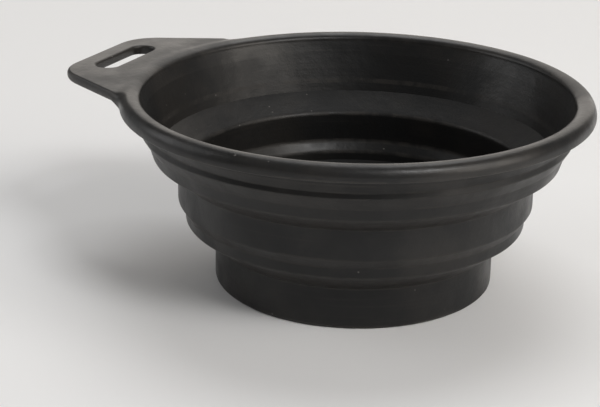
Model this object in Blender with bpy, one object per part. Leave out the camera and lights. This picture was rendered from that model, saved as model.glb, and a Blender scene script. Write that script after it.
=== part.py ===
"""Collapsible travel bowl, expanded.

Three stiff stages (base cup, middle section, collar with its rim and carry tab) are
joined by two thin fold webs. Folding slides each wider stage down over the one inside
it, and the webs turn inside out. Metres, +Z up; the origin is the centre of the
underside that the bowl stands on, and the carry tab points along +Y.
"""
import math

import bmesh
import bpy

MM = 0.001

# Driving dimensions, in millimetres. Heights are measured up from the underside.
# A stage corner is (radius, height) of its outer face.
HEIGHT = 54.2
RIM_R = 65.0
RIM_INNER_R = 59.4
RIM_INNER_Z = 52.4
RIM_WAIST_Z = 50.9
RIM_LIP_Z = 50.2
COLLAR_TOP = (60.1, 48.6)
UPPER_BAND = ((59.9, 47.7), (59.0, 45.6))
LOWER_BAND = ((59.5, 44.1), (57.4, 40.7))
COLLAR_EDGE = (56.3, 37.1)
MIDDLE_TOP = (49.4, 32.1)
SHOULDER = ((49.4, 23.8), (47.5, 21.0))
MIDDLE_EDGE = (47.3, 17.9)
BASE_TOP = (39.0, 11.6)
FOOT_R = 39.0
FOOT_FILLET = 1.2
FLOOR = 2.4

WALL = 2.0
LIP_WALL = 1.6
WEB_WALL = 1.3
GAP = 0.3
SEGMENTS = 48

# The stiff lip that each stage keeps of the cone between it and its neighbour.
LIP_SHARE = 0.13

TAB_REACH = 84.0
TAB_SIDE_DISTANCE = 55.8
TAB_SIDE_ANGLE = 27.0
TAB_ROOT_Y = 57.5
TAB_TOP = 53.7
TAB_THICKNESS = 2.8
TAB_CORNER_R = 8.0
SLOT_LENGTH = 26.0
SLOT_WIDTH = 7.0
SLOT_Y = 74.5

BLACK = (0.012, 0.012, 0.013)


def clear_scene():
    for old in list(bpy.data.objects):
        bpy.data.objects.remove(old)


def silicone(name, shade, roughness):
    """A black silicone: BLACK scaled by shade, never metallic."""
    material = bpy.data.materials.new(name)
    material.use_nodes = True
    shader = material.node_tree.nodes["Principled BSDF"]
    shader.inputs["Base Color"].default_value = (*(shade * c for c in BLACK), 1.0)
    shader.inputs["Roughness"].default_value = roughness
    shader.inputs["Metallic"].default_value = 0.0
    return material


def add_object(name, mesh, material):
    piece = bpy.data.objects.new(name, mesh)
    bpy.context.collection.objects.link(piece)
    mesh.materials.append(material)
    return piece


def arc(centre_r, centre_z, radius_r, radius_z, start, end, steps):
    """Points of an elliptic arc, angles in degrees."""
    angles = [math.radians(start + (end - start) * i / steps) for i in range(steps + 1)]
    return [(centre_r + radius_r * math.cos(a), centre_z + radius_z * math.sin(a)) for a in angles]


def rounded(before, corner, after, size, steps=4):
    """A corner rounded by a curve that starts and ends at size from it."""

    def towards(point):
        length = math.dist(corner, point)
        return tuple(c + (p - c) * size / length for c, p in zip(corner, point))

    first, last = towards(before), towards(after)
    shares = [i / steps for i in range(steps + 1)]
    return [
        tuple((1 - t) ** 2 * a + 2 * t * (1 - t) * c + t * t * b for a, c, b in zip(first, corner, last))
        for t in shares
    ]


def on_cone(upper, lower, share, depth=0.0):
    """A point at share of the way down the cone from upper to lower, depth below its outer face."""
    run = math.dist(upper, lower)
    down_r, down_z = (lower[0] - upper[0]) / run, (lower[1] - upper[1]) / run
    return (
        upper[0] + share * run * down_r + depth * down_z,
        upper[1] + share * run * down_z - depth * down_r,
    )


def cone_inside_at(upper, lower, radius):
    """The point of the stiff lip's inner face that lies at radius."""
    start, end = on_cone(upper, lower, 0.0, LIP_WALL), on_cone(upper, lower, 1.0, LIP_WALL)
    share = (radius - start[0]) / (end[0] - start[0])
    return (radius, start[1] + share * (end[1] - start[1]))


def turned(name, profile, material, closed=True):
    """Revolve a (radius, height) profile, given in mm, about the bowl's axis.

    The profile runs down its outer side and up its inner side.
    """
    count = len(profile)
    edges = [(i, i + 1) for i in range(count - 1)]
    if closed:
        edges.append((count - 1, 0))
    mesh = bpy.data.meshes.new(name)
    mesh.from_pydata([(r * MM, 0.0, z * MM) for r, z in profile], edges, [])
    piece = add_object(name, mesh, material)
    screw = piece.modifiers.new("turn", "SCREW")
    screw.axis = "Z"
    screw.angle = math.tau
    screw.steps = SEGMENTS
    screw.render_steps = SEGMENTS
    screw.use_merge_vertices = True
    screw.merge_threshold = 0.00001
    screw.use_smooth_shade = True


def stage_mouth(upper, lower, inner_r):
    """The top of a stage: its inner corner and the lip that reaches up to the web."""
    share = 1.0 - LIP_SHARE
    return [
        cone_inside_at(upper, lower, inner_r),
        on_cone(upper, lower, share, LIP_WALL),
        on_cone(upper, lower, share),
    ]


def stage_hem(upper, lower, above):
    """The bottom of a stage: its rounded outer edge and the lip that reaches down to the web."""
    end = on_cone(upper, lower, LIP_SHARE)
    return rounded(above, upper, end, 0.7) + [end, on_cone(upper, lower, LIP_SHARE, LIP_WALL)]


def base_cup(material):
    """The cup that the bowl stands on: floor, foot edge and lowest wall."""
    inner_r = FOOT_R - WALL
    mouth = stage_mouth(MIDDLE_EDGE, BASE_TOP, inner_r)
    floor = [(0.0, FLOOR)] + rounded((0.0, FLOOR), (inner_r, FLOOR), (inner_r, BASE_TOP[1]), 3.0)
    foot = rounded(BASE_TOP, (FOOT_R, 0.0), (0.0, 0.0), FOOT_FILLET)
    turned("base_cup", floor + mouth + [BASE_TOP] + foot + [(0.0, 0.0)], material, closed=False)


def fold_web(name, upper, lower, material):
    """A thin conical web whose two ends stop GAP short of the lips it joins."""
    spare = GAP / math.dist(upper, lower)
    shares = (LIP_SHARE + spare, 0.5, 1.0 - LIP_SHARE - spare)
    outside = [on_cone(upper, lower, share) for share in shares]
    inside = [on_cone(upper, lower, share, WEB_WALL) for share in reversed(shares)]
    turned(name, outside + inside, material)


def middle_section(material):
    """The middle stage: plain wall, shoulder stepping in, and the stiff bead below it."""
    shoulder_top, shoulder_foot = SHOULDER
    mouth = stage_mouth(COLLAR_EDGE, MIDDLE_TOP, MIDDLE_TOP[0] - WALL)
    hem = stage_hem(MIDDLE_EDGE, BASE_TOP, shoulder_foot)
    inner = [(shoulder_foot[0] - WALL, shoulder_foot[1]), (shoulder_top[0] - WALL, shoulder_top[1])]
    turned("middle_section", mouth + [MIDDLE_TOP, *SHOULDER] + hem + inner, material)


def collar(material):
    """The widest stage: two stepped bands outside, one smooth wall inside."""
    hem = stage_hem(COLLAR_EDGE, MIDDLE_TOP, LOWER_BAND[1])
    inner = [(LOWER_BAND[1][0] - WALL, LOWER_BAND[1][1]), (COLLAR_TOP[0] - WALL, COLLAR_TOP[1])]
    turned("collar", [COLLAR_TOP, *UPPER_BAND, *LOWER_BAND] + hem + inner, material)


def rim_ring(material):
    """The thick rim: its inside carries on up from the collar's, and its outer lip overhangs."""
    crown_r = (RIM_R + RIM_INNER_R) / 2
    crown = arc(crown_r, RIM_INNER_Z, crown_r - RIM_INNER_R, HEIGHT - RIM_INNER_Z, 180, 90, 6)
    crown += arc(crown_r, RIM_WAIST_Z, RIM_R - crown_r, HEIGHT - RIM_WAIST_Z, 90, 0, 6)[1:]
    foot_r, foot_z = COLLAR_TOP[0], COLLAR_TOP[1] + GAP
    under = [(RIM_R - 0.3, RIM_LIP_Z), (foot_r + 1.4, RIM_LIP_Z - 0.6)]
    turned("rim_ring", crown + under + [(foot_r, foot_z), (foot_r - WALL, foot_z)], material)


def plate(name, outline, low, high, material):
    """A flat plate: an (x, y) outline in mm, raised from low to high."""
    shape = bmesh.new()
    face = shape.faces.new([shape.verts.new((x * MM, y * MM, low * MM)) for x, y in outline])
    grown = bmesh.ops.extrude_face_region(shape, geom=[face])
    raised = [v for v in grown["geom"] if isinstance(v, bmesh.types.BMVert)]
    bmesh.ops.translate(shape, verts=raised, vec=(0.0, 0.0, (high - low) * MM))
    bmesh.ops.recalc_face_normals(shape, faces=shape.faces)
    mesh = bpy.data.meshes.new(name)
    shape.to_mesh(mesh)
    shape.free()
    return add_object(name, mesh, material)


def tab_outline():
    """The tab seen from above: a seat that follows the rim, two slanted sides, a flat tip."""
    tilt = math.radians(TAB_SIDE_ANGLE)

    def side_x(y):
        return (TAB_SIDE_DISTANCE - y * math.sin(tilt)) / math.cos(tilt)

    root = (side_x(TAB_ROOT_Y), TAB_ROOT_Y)
    tip = (side_x(TAB_REACH), TAB_REACH)
    corner = rounded(root, tip, (0.0, TAB_REACH), TAB_CORNER_R, steps=8)
    seat_r = RIM_R + GAP
    seat_start = math.degrees(math.acos(root[0] / seat_r))
    seat = arc(0.0, 0.0, seat_r, seat_r, 180.0 - seat_start, seat_start, 16)
    return seat + [root] + corner + [(-x, y) for x, y in reversed(corner)] + [(-root[0], root[1])]


def carry_tab(material):
    """The flat tab that grows out of the rim, with a slot for a clip."""
    low = TAB_TOP - TAB_THICKNESS
    tab = plate("carry_tab", tab_outline(), low, TAB_TOP, material)
    half, end_r = (SLOT_LENGTH - SLOT_WIDTH) / 2, SLOT_WIDTH / 2
    slot = arc(half, SLOT_Y, end_r, end_r, -90, 90, 8) + arc(-half, SLOT_Y, end_r, end_r, 90, 270, 8)
    cutter = plate("slot_cutter", slot, low - TAB_THICKNESS, TAB_TOP + TAB_THICKNESS, material)
    cutter.hide_render = True
    cutter.display_type = "WIRE"
    cut = tab.modifiers.new("slot", "BOOLEAN")
    cut.operation = "DIFFERENCE"
    cut.solver = "EXACT"
    cut.object = cutter


clear_scene()
stage_material = silicone("stage_silicone", 1.0, 0.42)
web_material = silicone("web_silicone", 0.8, 0.5)
rim_material = silicone("rim_silicone", 1.15, 0.36)
base_cup(stage_material)
fold_web("lower_fold_web", MIDDLE_EDGE, BASE_TOP, web_material)
middle_section(stage_material)
fold_web("upper_fold_web", COLLAR_EDGE, MIDDLE_TOP, web_material)
collar(stage_material)
rim_ring(rim_material)
carry_tab(rim_material)
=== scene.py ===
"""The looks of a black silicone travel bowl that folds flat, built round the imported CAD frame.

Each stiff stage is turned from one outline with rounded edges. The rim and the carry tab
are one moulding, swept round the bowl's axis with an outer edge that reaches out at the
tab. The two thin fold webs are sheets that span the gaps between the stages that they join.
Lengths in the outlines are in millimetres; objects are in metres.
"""
import math

import bpy
import numpy as np
from mathutils import Matrix, Vector


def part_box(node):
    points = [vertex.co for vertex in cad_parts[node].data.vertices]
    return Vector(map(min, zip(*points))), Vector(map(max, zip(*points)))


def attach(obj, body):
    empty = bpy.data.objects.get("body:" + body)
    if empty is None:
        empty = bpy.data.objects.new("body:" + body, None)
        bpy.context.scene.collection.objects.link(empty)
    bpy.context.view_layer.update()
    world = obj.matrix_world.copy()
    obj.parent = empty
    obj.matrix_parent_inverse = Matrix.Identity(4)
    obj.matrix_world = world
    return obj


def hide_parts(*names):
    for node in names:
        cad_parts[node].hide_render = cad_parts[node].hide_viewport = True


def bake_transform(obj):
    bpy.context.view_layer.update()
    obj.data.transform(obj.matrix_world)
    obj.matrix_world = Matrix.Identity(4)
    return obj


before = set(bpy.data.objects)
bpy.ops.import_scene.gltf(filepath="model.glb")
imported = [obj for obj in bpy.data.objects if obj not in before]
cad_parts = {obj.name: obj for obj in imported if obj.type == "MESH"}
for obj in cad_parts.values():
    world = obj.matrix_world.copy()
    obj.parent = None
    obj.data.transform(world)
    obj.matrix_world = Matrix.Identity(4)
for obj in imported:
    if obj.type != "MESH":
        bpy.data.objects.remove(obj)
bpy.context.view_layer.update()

MM = 0.001
TINY = 1e-9


def box_in_mm(node):
    """The lowest and the highest corner of a CAD node's box, in mm, to a thousandth."""
    return [[round(c / MM, 3) for c in corner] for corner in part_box(node)]


collar_high = box_in_mm("collar")[1]
rim_high = box_in_mm("rim_ring")[1]
tab_low, tab_high = box_in_mm("carry_tab")

# Stage corners: (radius, height) of the outer face, as in the CAD model.
COLLAR_TOP = (collar_high[0], collar_high[2])
UPPER_BAND = ((59.9, 47.7), (59.0, 45.6))
LOWER_BAND = ((59.5, 44.1), (57.4, 40.7))
COLLAR_EDGE = (56.3, 37.1)
MIDDLE_TOP = (49.4, 32.1)
SHOULDER = ((49.4, 23.8), (47.5, 21.0))
MIDDLE_EDGE = (47.3, 17.9)
BASE_TOP = (39.0, 11.6)
FOOT_R = 39.0
FLOOR_THICKNESS = 2.4
WALL = 2.0
LIP_WALL = 1.6
LIP_SHARE = 0.13

# How far from a corner its rounding starts.
FLOOR_ROUND = 3.0
FOOT_ROUND = 1.2
INNER_ROUND = 0.8
EDGE_ROUND = 0.5
MIDDLE_TOP_ROUND = 0.4
STEP_ROUND = 0.35
BAND_ROUND = 0.3

RIM_R = rim_high[0]
RIM_INNER_R = 59.4
RIM_INNER_Z = 52.4
RIM_WAIST_Z = 50.9
RIM_TOP_Z = rim_high[2]
RIM_LIP_Z = 50.2
RIM_LIP_ROUND = 0.25
CROWN_R = (RIM_R + RIM_INNER_R) / 2
# How pale the rim's crown is painted: partly rubbed wear, partly painted highlight.
CROWN_RUB_AND_HIGHLIGHT = 0.3

# The rim's underside: flat in to its corner, then down to the neck above the collar.
UNDER_R = COLLAR_TOP[0] + 2.6
UNDER_CORNER = (UNDER_R - 1.0, RIM_LIP_Z)
UNDER_ROUND = 0.4
UNDER_BUNCHING = 1.5
NECK = (COLLAR_TOP[0] + 0.9, RIM_LIP_Z - 0.8)

# The tab. Its sides are lines at a distance from the bowl's axis, which start inside the rim.
TAB_REACH = tab_high[1]
TAB_SIDE_DISTANCE = 55.8
TAB_SIDE_ANGLE = 27.0
TAB_START_Y = 40.0
TAB_TOP = tab_high[2]
TAB_THICKNESS = TAB_TOP - tab_low[2]
TAB_CORNER_R = 8.0
TAB_EDGE_R = 1.0
TAB_EDGE_FLAT = 0.1
TAB_ROOT_FILLET = 1.6
TAB_ROOT_RUN = 3.2
TAB_TOP_RUN = 3.6
TAB_UNDER_RUN = 3.0
SLOT_LENGTH = 26.0
SLOT_WIDTH = 7.0
SLOT_Y = 74.5
SLOT_EDGE_R = 0.7

# How finely each stretch is cut.
TURN_STEPS = 288
WEB_ROWS = 64
RISE_STEPS = 8
CROWN_STEPS = 14
OUTER_STEPS = 36
TAB_FLAT_STEPS = 22
LIP_STEPS = 6
UNDER_STEPS = 16

CAMERA_AZIMUTH = -64.25
BOWL_MIDDLE = Vector((0, 0, 0.03))
WARM = (1.0, 0.94, 0.87)
WHITE = (1.0, 1.0, 1.0)

# The studio, in metres. The far floor's glow grows from one distance to the other.
FLOOR_HALF = 9.0
BACKDROP = 0.72
FAR_FLOOR_GLOW = 0.37
GLOW_FROM = 0.7
GLOW_TO = 1.7
SKY_STRENGTH = 0.14


# ---------------------------------------------------------------- outlines


def rounded(before, corner, after, size, steps=6):
    """A corner rounded by a curve that starts and ends at size from it."""

    def towards(point):
        length = math.dist(corner, point)
        return tuple(c + (p - c) * size / length for c, p in zip(corner, point))

    def along(t):
        ends = zip(first, corner, last)
        return tuple((1 - t) ** 2 * a + 2 * t * (1 - t) * c + t * t * b for a, c, b in ends)

    first, last = towards(before), towards(after)
    return [along(i / steps) for i in range(steps + 1)]


def outline(*corners):
    """An outline from corners (radius, height, rounding), as (radius, height, edge).

    Edge is 1 on a rounded corner and 0 elsewhere. The outline's ends stay sharp.
    """
    points = [(*corners[0][:2], 0.0)]
    for before, corner, after in zip(corners, corners[1:], corners[2:]):
        if len(corner) == 3:
            first, *middle, last = rounded(before[:2], corner[:2], after[:2], corner[2])
            points += [(*first, 0.0), *((*point, 1.0) for point in middle), (*last, 0.0)]
        else:
            points.append((*corner, 0.0))
    return points + [(*corners[-1][:2], 0.0)]


def filled_in(points, longest=1.2):
    """The same outline with its long straight stretches cut into ones no longer than longest."""
    filled = [points[0]]
    for a, b in zip(points, points[1:]):
        count = max(1, math.ceil(math.dist(a[:2], b[:2]) / longest))
        filled += [tuple(p + (q - p) * i / count for p, q in zip(a, b)) for i in range(1, count + 1)]
    return filled


def on_cone(upper, lower, share, depth=0.0):
    """A point at share of the way down the cone from upper to lower, depth below its outer face."""
    run = math.dist(upper, lower)
    down_r, down_z = (lower[0] - upper[0]) / run, (lower[1] - upper[1]) / run
    return (
        upper[0] + share * run * down_r + depth * down_z,
        upper[1] + share * run * down_z - depth * down_r,
    )


def cone_inside_at(upper, lower, radius):
    """The point of the stiff lip's inner face that lies at radius."""
    start, end = on_cone(upper, lower, 0.0, LIP_WALL), on_cone(upper, lower, 1.0, LIP_WALL)
    share = (radius - start[0]) / (end[0] - start[0])
    return (radius, start[1] + share * (end[1] - start[1]))


# ---------------------------------------------------------------- meshes


def new_piece(name, vertices, faces, material):
    mesh = bpy.data.meshes.new(name)
    mesh.from_pydata(vertices, [], faces)
    mesh.materials.append(material)
    piece = bpy.data.objects.new(name, mesh)
    bpy.context.collection.objects.link(piece)
    return piece


def mark_edges(piece, values):
    """Keep how far each point is an edge, from 0 to 1, where the material can read it."""
    attribute = piece.data.attributes.new("edge", "FLOAT", "POINT")
    attribute.data.foreach_set("value", np.array(values, np.float32))


def shade(piece, angle=32.0):
    """Shade a piece smooth, and keep its sharp corners and a sheet's open edges crisp."""
    mesh = piece.data
    mesh.shade_smooth()
    mesh.set_sharp_from_angle(angle=math.radians(angle))
    uses = np.zeros(len(mesh.edges), int)
    np.add.at(uses, [loop.edge_index for loop in mesh.loops], 1)
    for i in np.flatnonzero(uses == 1):
        mesh.edges[int(i)].use_edge_sharp = True


def waver(angle, height):
    """How far the moulding strays from a true circle, in mm: never more than about 0.12."""
    return (
        0.045 * math.sin(2 * angle + 0.6)
        + 0.030 * math.sin(3 * angle + height / 17 + 2.1)
        + 0.022 * math.sin(7 * angle - height / 9 + 4.0)
        + 0.014 * math.sin(16 * angle + height / 5)
        + 0.008 * math.sin(29 * angle - height / 3 + 1.3)
    )


def placed(radius, height, angle, true_middle_r=30.0):
    """A point at that radius and height, in metres. The angle is taken from the tab's middle.

    The waver fades out towards the axis, from true_middle_r in.
    """
    r = radius + waver(angle, height) * min(1.0, radius / true_middle_r)
    return (-r * math.sin(angle) * MM, r * math.cos(angle) * MM, height * MM)


def revolve(name, points, material, closed=True):
    """Turn an outline, which runs down its outer side, about the bowl's axis."""
    vertices, edges, rings = [], [], []
    for radius, height, edge in points:
        turns = 1 if radius < TINY else TURN_STEPS
        rings.append([len(vertices) + i % turns for i in range(TURN_STEPS)])
        vertices += [placed(radius, height, math.tau * i / TURN_STEPS) for i in range(turns)]
        edges += [edge] * turns
    pairs = list(zip(rings, rings[1:]))
    if closed:
        pairs.append((rings[-1], rings[0]))
    faces = []
    for upper, lower in pairs:
        for i in range(TURN_STEPS):
            j = (i + 1) % TURN_STEPS
            corners = [upper[i], lower[i], lower[j], upper[j]]
            faces.append(list(dict.fromkeys(corners)))
    piece = new_piece(name, vertices, faces, material)
    mark_edges(piece, edges)
    return piece


# ---------------------------------------------------------------- stages


def stage_mouth(upper, lower, inner_r):
    """Corners of a stage's top: its inner edge and the lip that reaches up to the web."""
    share = 1.0 - LIP_SHARE
    return [
        (*cone_inside_at(upper, lower, inner_r), INNER_ROUND),
        on_cone(upper, lower, share, LIP_WALL),
        on_cone(upper, lower, share),
    ]


def stage_hem(upper, lower):
    """Corners of a stage's bottom: its outer edge and the lip that reaches down to the web."""
    return [
        (*upper, EDGE_ROUND),
        on_cone(upper, lower, LIP_SHARE),
        on_cone(upper, lower, LIP_SHARE, LIP_WALL),
    ]


def base_cup(material):
    inner_r = FOOT_R - WALL
    points = outline(
        (0.0, FLOOR_THICKNESS),
        (inner_r, FLOOR_THICKNESS, FLOOR_ROUND),
        *stage_mouth(MIDDLE_EDGE, BASE_TOP, inner_r),
        (*BASE_TOP, EDGE_ROUND),
        (FOOT_R, 0.0, FOOT_ROUND),
        (0.0, 0.0),
    )
    piece = revolve("base_cup_shell", filled_in(points), material, closed=False)
    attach(piece, "base")
    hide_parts("base_cup")
    return piece


def middle_section(material):
    """The middle stage. Its outline starts and ends half way up the inner wall."""
    shoulder_top, shoulder_foot = SHOULDER
    inner_r = shoulder_top[0] - WALL
    start = (inner_r, 28.0)
    points = outline(
        start,
        *stage_mouth(COLLAR_EDGE, MIDDLE_TOP, inner_r),
        (*MIDDLE_TOP, MIDDLE_TOP_ROUND),
        (*shoulder_top, STEP_ROUND),
        (*shoulder_foot, STEP_ROUND),
        *stage_hem(MIDDLE_EDGE, BASE_TOP),
        (shoulder_foot[0] - WALL, shoulder_foot[1], INNER_ROUND),
        (inner_r, shoulder_top[1], INNER_ROUND),
        start,
    )
    piece = revolve("middle_section_shell", filled_in(points)[:-1], material)
    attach(piece, "middle")
    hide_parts("middle_section")
    return piece


def collar(material):
    points = outline(
        COLLAR_TOP,
        (*UPPER_BAND[0], BAND_ROUND),
        (*UPPER_BAND[1], BAND_ROUND),
        (*LOWER_BAND[0], BAND_ROUND),
        (*LOWER_BAND[1], STEP_ROUND),
        *stage_hem(COLLAR_EDGE, MIDDLE_TOP),
        (LOWER_BAND[1][0] - WALL, LOWER_BAND[1][1], INNER_ROUND),
        (COLLAR_TOP[0] - WALL, COLLAR_TOP[1]),
    )
    piece = revolve("collar_shell", filled_in(points), material)
    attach(piece, "collar")
    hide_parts("collar")
    return piece


def fold_web(name, node, upper, lower, material):
    """A web between two stages: a sheet turned about the bowl's axis.

    The sheet is its wall's middle and is given its thickness by a live modifier, so the wall
    would keep its thickness if the sheet bent. Its rows are closest together at the two creases.
    """
    points = []
    for i in range(WEB_ROWS + 1):
        share = LIP_SHARE + (1.0 - 2 * LIP_SHARE) * (1 - math.cos(math.pi * i / WEB_ROWS)) / 2
        points.append((*on_cone(upper, lower, share, LIP_WALL / 2), 0.0))
    piece = revolve(name, points, material, closed=False)
    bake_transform(piece)
    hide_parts(node)
    wall = piece.modifiers.new("wall", "SOLIDIFY")
    wall.thickness = LIP_WALL * MM
    wall.offset = 0.0
    wall.use_even_offset = True
    wall.use_quality_normals = True
    return piece


# ---------------------------------------------------------------- rim and tab


def smooth_step(t):
    t = min(max(t, 0.0), 1.0)
    return t * t * (3 - 2 * t)


def mixed(rim, tab, share):
    """From the rim's value, at share 0, to the tab's, at share 1."""
    return rim + (tab - rim) * share


def eased_max(a, b, ease):
    """The larger of two numbers, with a fillet of about that size where they meet."""
    h = max(ease - abs(a - b), 0.0) / ease
    return max(a, b) + h * h * ease / 4


def tab_edge():
    """Half of the tab's edge seen from above, from well inside the rim to the tip's middle."""
    tilt = math.radians(TAB_SIDE_ANGLE)

    def side_at(y):
        return ((TAB_SIDE_DISTANCE - y * math.sin(tilt)) / math.cos(tilt), y)

    start, tip, tip_middle = side_at(TAB_START_Y), side_at(TAB_REACH), (0.0, TAB_REACH)
    return [start, *rounded(start, tip, tip_middle, TAB_CORNER_R, steps=16), tip_middle]


def reach_at(edge, angle):
    """How far the rim's outer edge reaches at an angle from the tab's middle."""
    ray = (math.sin(abs(angle)), math.cos(angle))
    for (ax, ay), (bx, by) in zip(edge, edge[1:]):
        cross = ray[0] * (by - ay) - ray[1] * (bx - ax)
        if abs(cross) < TINY:
            continue
        along = (ax * (by - ay) - ay * (bx - ax)) / cross
        share = (ray[1] * ax - ray[0] * ay) / cross
        if along > 0 and -TINY <= share <= 1 + TINY:
            return eased_max(RIM_R, along, TAB_ROOT_FILLET)
    return RIM_R


def rim_inside():
    """The rim's outline from the collar up its inside and over to the crown's top."""
    foot_r, foot_z = COLLAR_TOP[0] - WALL, COLLAR_TOP[1]
    points = []
    for i in range(RISE_STEPS):
        share = i / RISE_STEPS
        r = foot_r + (RIM_INNER_R - foot_r) * share
        points.append((r, foot_z + (RIM_INNER_Z - foot_z) * share, 0.0))
    for i in range(CROWN_STEPS):
        a = i / CROWN_STEPS * math.pi / 2
        r = CROWN_R - (CROWN_R - RIM_INNER_R) * math.cos(a)
        points.append((r, RIM_INNER_Z + (RIM_TOP_Z - RIM_INNER_Z) * math.sin(a), CROWN_RUB_AND_HIGHLIGHT))
    return points


def rim_outside(reach, i):
    """The plain rim's point at step i, from the crown's top down to the waist."""
    a = i / OUTER_STEPS * math.pi / 2
    r = CROWN_R + (reach - CROWN_R) * math.sin(a)
    return (r, RIM_WAIST_Z + (RIM_TOP_Z - RIM_WAIST_Z) * math.cos(a), CROWN_RUB_AND_HIGHLIGHT * math.cos(a))


def tab_outside(reach, half_thick, i):
    """The tab's point at step i: out along its flat top, then down its rounded edge."""
    flat_end = reach - TAB_EDGE_R
    if i <= TAB_FLAT_STEPS:
        run = (flat_end - CROWN_R) * i / TAB_FLAT_STEPS
        height = RIM_TOP_Z + (TAB_TOP - RIM_TOP_Z) * smooth_step(run / TAB_TOP_RUN)
        return (CROWN_R + run, height, CROWN_RUB_AND_HIGHLIGHT * (1 - i / TAB_FLAT_STEPS))
    a = (i - TAB_FLAT_STEPS) / (OUTER_STEPS - TAB_FLAT_STEPS) * math.pi / 2
    height = TAB_TOP - half_thick * (1 - math.cos(a))
    return (flat_end + TAB_EDGE_R * math.sin(a), height, math.sin(2 * a))


def underside(reach, tab, half_thick):
    """The outline from the outer edge round the lip and in along the underside to the collar.

    Its points along the underside lie closer together towards the neck.
    """
    low_z = mixed(RIM_LIP_Z, TAB_TOP - TAB_THICKNESS, tab)
    low_r = mixed(RIM_LIP_ROUND, TAB_EDGE_R, tab)
    low_h = mixed(RIM_LIP_ROUND, half_thick, tab)
    points = []
    for i in range(LIP_STEPS + 1):
        a = i / LIP_STEPS * math.pi / 2
        height = low_z + low_h * (1 - math.sin(a))
        points.append((reach - low_r * (1 - math.cos(a)), height, math.cos(a)))
    start_r = reach - low_r
    fade = min(start_r - UNDER_R, TAB_UNDER_RUN)
    for i in range(1, UNDER_STEPS + 1):
        r = start_r + (UNDER_R - start_r) * (1 - (1 - i / UNDER_STEPS) ** UNDER_BUNCHING)
        near = smooth_step(1 - (r - UNDER_R) / fade)
        points.append((r, low_z + (RIM_LIP_Z - low_z) * near, 0.0))
    corner = rounded((UNDER_R, RIM_LIP_Z), UNDER_CORNER, NECK, UNDER_ROUND)
    return points + [(*point, 0.0) for point in (*corner, NECK, COLLAR_TOP)]


def rim_section(reach):
    """The rim's outline (radius, height, edge) where its outer edge reaches that far.

    It runs up the inside, over the crown, out and down the outer edge, and in along the underside.
    """
    tab = smooth_step((reach - RIM_R) / TAB_ROOT_RUN)
    half_thick = (TAB_THICKNESS - TAB_EDGE_FLAT) / 2
    points = rim_inside()
    for i in range(OUTER_STEPS + 1):
        rim, plate = rim_outside(reach, i), tab_outside(reach, half_thick, i)
        points.append(tuple(mixed(a, b, tab) for a, b in zip(rim, plate)))
    return points + underside(reach, tab, half_thick)


def rim_angles():
    """Angles round the axis, from the tab's middle, closer together across the tab."""
    tab_half, fine_count, coarse_count = math.radians(36.0), 110, 240
    fine = [tab_half * i / fine_count for i in range(-fine_count, fine_count + 1)]
    rest = math.tau - 2 * tab_half
    return fine + [tab_half + rest * i / coarse_count for i in range(1, coarse_count)]


def rim_and_tab(material):
    """The rim and the tab in one, from sections that all have the same number of points."""
    edge = tab_edge()
    angles = rim_angles()
    sections = [rim_section(reach_at(edge, a)) for a in angles]
    count = len(sections[0])
    vertices = [placed(r, z, a) for a, section in zip(angles, sections) for r, z, edge_mark in section]
    faces = []
    for i in range(len(angles)):
        here, there = i * count, (i + 1) % len(angles) * count
        for k in range(count):
            n = (k + 1) % count
            faces.append((here + k, here + n, there + n, there + k))
    piece = new_piece("rim_and_tab", vertices, faces, material)
    mark_edges(piece, [edge_mark for section in sections for r, z, edge_mark in section])
    cut_slot(piece)
    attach(piece, "collar")
    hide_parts("rim_ring", "carry_tab")
    return piece


def slot_ring(grow, height, end_steps=24):
    """A round-ended loop round the slot, grown outwards by grow, at a height."""
    half, end_r = (SLOT_LENGTH - SLOT_WIDTH) / 2, SLOT_WIDTH / 2 + grow
    loop = []
    for centre, first in ((half, -90), (-half, 90)):
        for i in range(end_steps + 1):
            a = math.radians(first + 180 * i / end_steps)
            loop.append((centre + end_r * math.cos(a), SLOT_Y + end_r * math.sin(a), height))
    return loop


def cut_slot(piece, flare_steps=6, spare=1.0):
    """Cut the slot with a waisted bar, so that both its edges come out rounded.

    The bar sticks out of the tab by spare at both ends.
    """
    low, high = TAB_TOP - TAB_THICKNESS, TAB_TOP
    turns = [math.pi / 2 * i / flare_steps for i in range(flare_steps + 1)]
    flare = [(SLOT_EDGE_R * (1 - math.sin(a)), SLOT_EDGE_R * (1 - math.cos(a))) for a in turns]
    levels = [(SLOT_EDGE_R, low - spare)]
    levels += [(grow, low + rise) for grow, rise in flare]
    levels += [(grow, high - rise) for grow, rise in reversed(flare)]
    levels += [(SLOT_EDGE_R, high + spare)]
    rings = [slot_ring(grow, height) for grow, height in levels]
    count = len(rings[0])
    vertices = [tuple(c * MM for c in p) for ring in rings for p in ring]
    faces = [list(range(count))[::-1], [len(vertices) - count + i for i in range(count)]]
    for level in range(len(rings) - 1):
        for i in range(count):
            j = (i + 1) % count
            base = level * count
            faces.append((base + i, base + j, base + count + j, base + count + i))
    cutter = new_piece("slot_cutter", vertices, faces, piece.data.materials[0])
    cut = piece.modifiers.new("slot", "BOOLEAN")
    cut.operation = "DIFFERENCE"
    cut.solver = "EXACT"
    cut.object = cutter
    bpy.context.view_layer.update()
    evaluated = piece.evaluated_get(bpy.context.evaluated_depsgraph_get())
    mesh = bpy.data.meshes.new_from_object(evaluated)
    piece.modifiers.clear()
    piece.data = mesh
    bpy.data.objects.remove(cutter)


# ---------------------------------------------------------------- materials


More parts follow.
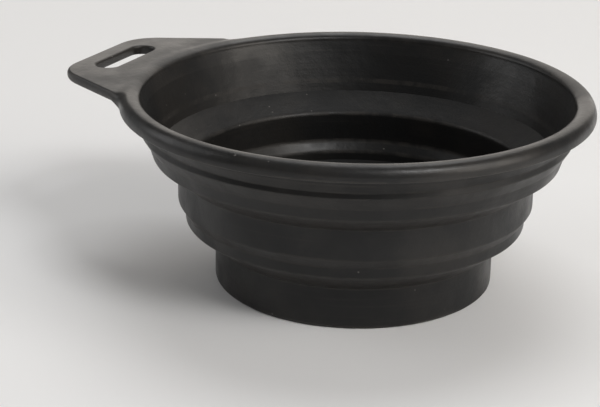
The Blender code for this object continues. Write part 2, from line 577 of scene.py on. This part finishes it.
class Tree:
    """A short way to write a node material: every call adds one node and links its inputs."""

    def __init__(self, name):
        self.material = bpy.data.materials.new(name)
        self.material.use_nodes = True
        self.tree = self.material.node_tree
        self.shader = self.tree.nodes["Principled BSDF"]

    def add(self, kind, inputs=None, **settings):
        node = self.tree.nodes.new("ShaderNode" + kind)
        for key, value in settings.items():
            setattr(node, key, value)
        for socket, value in (inputs or {}).items():
            self.feed(node.inputs[socket], value)
        return node

    def feed(self, socket, value):
        if isinstance(value, bpy.types.NodeSocket):
            self.tree.links.new(value, socket)
        else:
            socket.default_value = value

    def noise(self, where, scale, detail=3.0, roughness=0.55):
        inputs = {"Vector": where, "Scale": scale, "Detail": detail, "Roughness": roughness}
        return self.add("TexNoise", inputs).outputs["Fac"]

    def span(self, value, low, high, new_low, new_high):
        inputs = {0: value, 1: low, 2: high, 3: new_low, 4: new_high}
        return self.add("MapRange", inputs, interpolation_type="SMOOTHSTEP").outputs["Result"]

    def maths(self, operation, a, b):
        return self.add("Math", {0: a, 1: b}, operation=operation).outputs[0]

    def mix(self, share, a, b):
        """Colour a where share is 0, colour b where it is 1."""
        return self.add("Mix", {0: share, 6: a, 7: b}, data_type="RGBA").outputs[2]


def grey(tone, warmth=0.0):
    return (tone * (1 + warmth), tone, tone * (1 - warmth), 1.0)


def silicone(name, tone, smoothest, roughest, grain):
    """Black silicone: fine moulded grain, handling smears, dust specks and paler edges, partly rubbed
    wear and partly painted highlight.

    Faces that lean downwards, such as the bands, are painted paler too: a painted reflection of the pale
    floor below.
    """
    t = Tree(name)
    where = t.add("TexCoord").outputs["Object"]
    drawn = t.add("Mapping", {"Vector": where, "Scale": (22.0, 22.0, 900.0)}).outputs["Vector"]
    smears = t.noise(where, 60.0, 5.0, 0.62)
    clouds = t.noise(where, 19.0, 2.0)
    peel = t.noise(where, 230.0, 2.0)
    fine = t.noise(where, 1700.0, 2.0, 0.6)
    lines = t.noise(drawn, 1.0, 2.0)
    edge = t.add("Attribute", attribute_name="edge").outputs["Fac"]
    # Rubbed edges and the rim's crown painted paler: partly wear, partly a painted highlight along the
    # edges.
    rubbed_and_highlit_edges = t.maths("MULTIPLY", edge, t.span(t.noise(where, 170.0, 4.0), 0.40, 0.62, 0.12, 1.0))

    dots = t.add("TexVoronoi", {"Vector": where, "Scale": 240.0})
    spot = t.span(dots.outputs["Distance"], 0.03, 0.085, 1.0, 0.0)
    chosen = t.add("SeparateColor", {"Color": dots.outputs["Color"]}).outputs["Red"]
    specks = t.maths("MULTIPLY", spot, t.span(chosen, 0.62, 0.70, 0.0, 1.0))

    facing = t.add("SeparateXYZ", {"Vector": t.add("NewGeometry").outputs["Normal"]}).outputs["Z"]
    # Painted reflection: faces that lean downwards are painted paler, as if they mirrored the pale floor
    # below.
    painted_floor_reflection = t.span(facing, -0.95, -0.12, 0.85, 0.0)

    haze = t.span(t.maths("MULTIPLY", smears, clouds), 0.17, 0.36, 0.0, 0.65)
    streaks = t.maths("MULTIPLY", t.span(lines, 0.56, 0.72, 0.0, 1.0), 0.25)
    # Paler where hazed, streaked or rubbed, and also where painted highlight and painted reflection go.
    wear_and_painted_sheen = t.maths("ADD", t.maths("ADD", haze, streaks), t.maths("MULTIPLY", rubbed_and_highlit_edges, 1.1))
    wear_and_painted_sheen = t.maths("ADD", wear_and_painted_sheen, painted_floor_reflection)
    # The paler, warmer colour stands for wear and dust, and also for painted highlight and painted
    # reflection.
    body = t.mix(wear_and_painted_sheen, grey(tone, -0.03), grey(tone * 3.2, 0.10))
    dusty = t.mix(t.maths("MULTIPLY", specks, 0.8), body, grey(0.11, 0.06))
    t.feed(t.shader.inputs["Base Color"], dusty)

    polish = t.span(smears, 0.34, 0.66, roughest, smoothest)
    marks = t.maths("ADD", rubbed_and_highlit_edges, specks)
    t.feed(t.shader.inputs["Roughness"], t.maths("ADD", polish, t.maths("MULTIPLY", marks, 0.10)))
    t.shader.inputs["IOR"].default_value = 1.41

    relief = t.maths("ADD", t.maths("MULTIPLY", fine, 0.35), t.maths("MULTIPLY", lines, 0.25))
    relief = t.maths("ADD", relief, t.maths("MULTIPLY", peel, 1.1))
    relief = t.maths("ADD", relief, t.maths("MULTIPLY", specks, 0.5))
    bump = t.add("Bump", {"Height": relief, "Strength": grain, "Distance": 0.00012})
    t.feed(t.shader.inputs["Normal"], bump.outputs["Normal"])
    return t.material


# ---------------------------------------------------------------- studio


def pale_floor():
    """Pale and matt. Far off, past the lights' reach, it glows a little to keep the backdrop's tone."""
    t = Tree("pale_floor")
    t.shader.inputs["Base Color"].default_value = grey(0.85)
    t.shader.inputs["Roughness"].default_value = 0.9
    place = t.add("TexCoord").outputs["Object"]
    distance = t.add("VectorMath", {0: place}, operation="LENGTH").outputs["Value"]
    t.shader.inputs["Emission Color"].default_value = grey(1.0)
    glow = t.span(distance, GLOW_FROM, GLOW_TO, 0.0, FAR_FLOOR_GLOW)
    t.feed(t.shader.inputs["Emission Strength"], glow)
    return t.material


def floor():
    half = FLOOR_HALF
    corners = [(-half, -half, 0), (half, -half, 0), (half, half, 0), (-half, half, 0)]
    new_piece("floor", corners, [(0, 1, 2, 3)], pale_floor())


def camera():
    """The camera stands where it sees the tab behind the bowl, to the left."""
    azimuth, elevation, roll = math.radians(CAMERA_AZIMUTH), math.radians(20.6), math.radians(0.86)
    distance, slide_x, slide_y = 0.4534, -0.01531, -0.02964
    rim_middle = Vector((0, 0, 0.0523))
    flat = Vector((-math.sin(azimuth), math.cos(azimuth), 0))
    right = Vector((math.cos(azimuth), math.sin(azimuth), 0))
    forward = flat * math.cos(elevation) - Vector((0, 0, math.sin(elevation)))
    up = right.cross(forward)
    data = bpy.data.cameras.new("camera")
    data.lens = 99.1
    data.sensor_width = 36.0
    data.clip_start = 0.01
    eye = bpy.data.objects.new("camera", data)
    bpy.context.collection.objects.link(eye)
    turned_right = right * math.cos(roll) + up * math.sin(roll)
    turned_up = up * math.cos(roll) - right * math.sin(roll)
    place = rim_middle - forward * distance + right * slide_x + up * slide_y
    basis = Matrix((turned_right, turned_up, -forward)).transposed().to_4x4()
    eye.matrix_world = Matrix.Translation(place) @ basis
    bpy.context.scene.camera = eye


def add_light(name, kind, azimuth, elevation):
    """A light aimed back at the bowl, and its direction. Azimuth goes round to the camera's right."""
    a, e = math.radians(CAMERA_AZIMUTH + azimuth), math.radians(elevation)
    towards = Vector((math.sin(a) * math.cos(e), -math.cos(a) * math.cos(e), math.sin(e)))
    light = bpy.data.objects.new(name, bpy.data.lights.new(name, kind))
    bpy.context.collection.objects.link(light)
    light.rotation_mode = "QUATERNION"
    light.rotation_quaternion = (-towards).to_track_quat("-Z", "Y")
    return light, towards


def window(name, azimuth, elevation, distance, size, power, colour=WHITE):
    """A square soft light."""
    light, towards = add_light(name, "AREA", azimuth, elevation)
    light.data.color = colour
    light.location = towards * distance + BOWL_MIDDLE
    light.data.size = size
    light.data.energy = power


def overcast(name, azimuth, elevation, spread, strength):
    """A very soft light that falls evenly on everything."""
    light, towards = add_light(name, "SUN", azimuth, elevation)
    light.data.angle = math.radians(spread)
    light.data.energy = strength


def studio():
    """The lights, a faint even sky that lights the bowl, and a paler backdrop that only shows.

    Angles are in degrees, distances and sizes in metres, powers in watts.
    """
    world = bpy.data.worlds.new("studio")
    world.use_nodes = True
    background = world.node_tree.nodes["Background"]
    background.inputs["Color"].default_value = (1.0, 0.985, 0.98, 1.0)
    background.inputs["Strength"].default_value = SKY_STRENGTH
    tree = world.node_tree
    surround = tree.nodes.new("ShaderNodeBackground")
    surround.inputs["Color"].default_value = grey(BACKDROP)
    seen = tree.nodes.new("ShaderNodeLightPath")
    pick = tree.nodes.new("ShaderNodeMixShader")
    tree.links.new(seen.outputs["Is Camera Ray"], pick.inputs[0])
    tree.links.new(background.outputs[0], pick.inputs[1])
    tree.links.new(surround.outputs[0], pick.inputs[2])
    tree.links.new(pick.outputs[0], tree.nodes["World Output"].inputs["Surface"])
    bpy.context.scene.world = world
    bpy.context.scene.view_settings.view_transform = "Standard"
    window("right_window", 62, 26, 1.2, 0.8, 6.6, WARM)
    window("left_window", -100, 26, 1.2, 0.7, 2.6)
    window("back_window", 172, 20, 1.2, 1.2, 4.5, WARM)
    window("front", 34, 46, 1.3, 0.35, 5.2)
    overcast("overhead", 172, 62, 40, 0.95)


stage_material = silicone("stage_silicone", 0.0062, 0.34, 0.50, 0.85)
web_material = silicone("web_silicone", 0.0060, 0.40, 0.55, 0.95)
rim_material = silicone("rim_silicone", 0.0088, 0.29, 0.44, 0.75)
camera()
pieces = {
    "stage_silicone": [base_cup(stage_material), middle_section(stage_material), collar(stage_material)],
    "web_silicone": [
        fold_web(
            "lower_web", "lower_fold_web", MIDDLE_EDGE, BASE_TOP, web_material
        ),
        fold_web(
            "upper_web", "upper_fold_web", COLLAR_EDGE, MIDDLE_TOP, web_material
        ),
    ],
    "rim_silicone": [rim_and_tab(rim_material)],
}
for slot, members in pieces.items():
    for piece in members:
        shade(piece)
floor()
studio()
bpy.context.view_layer.update()
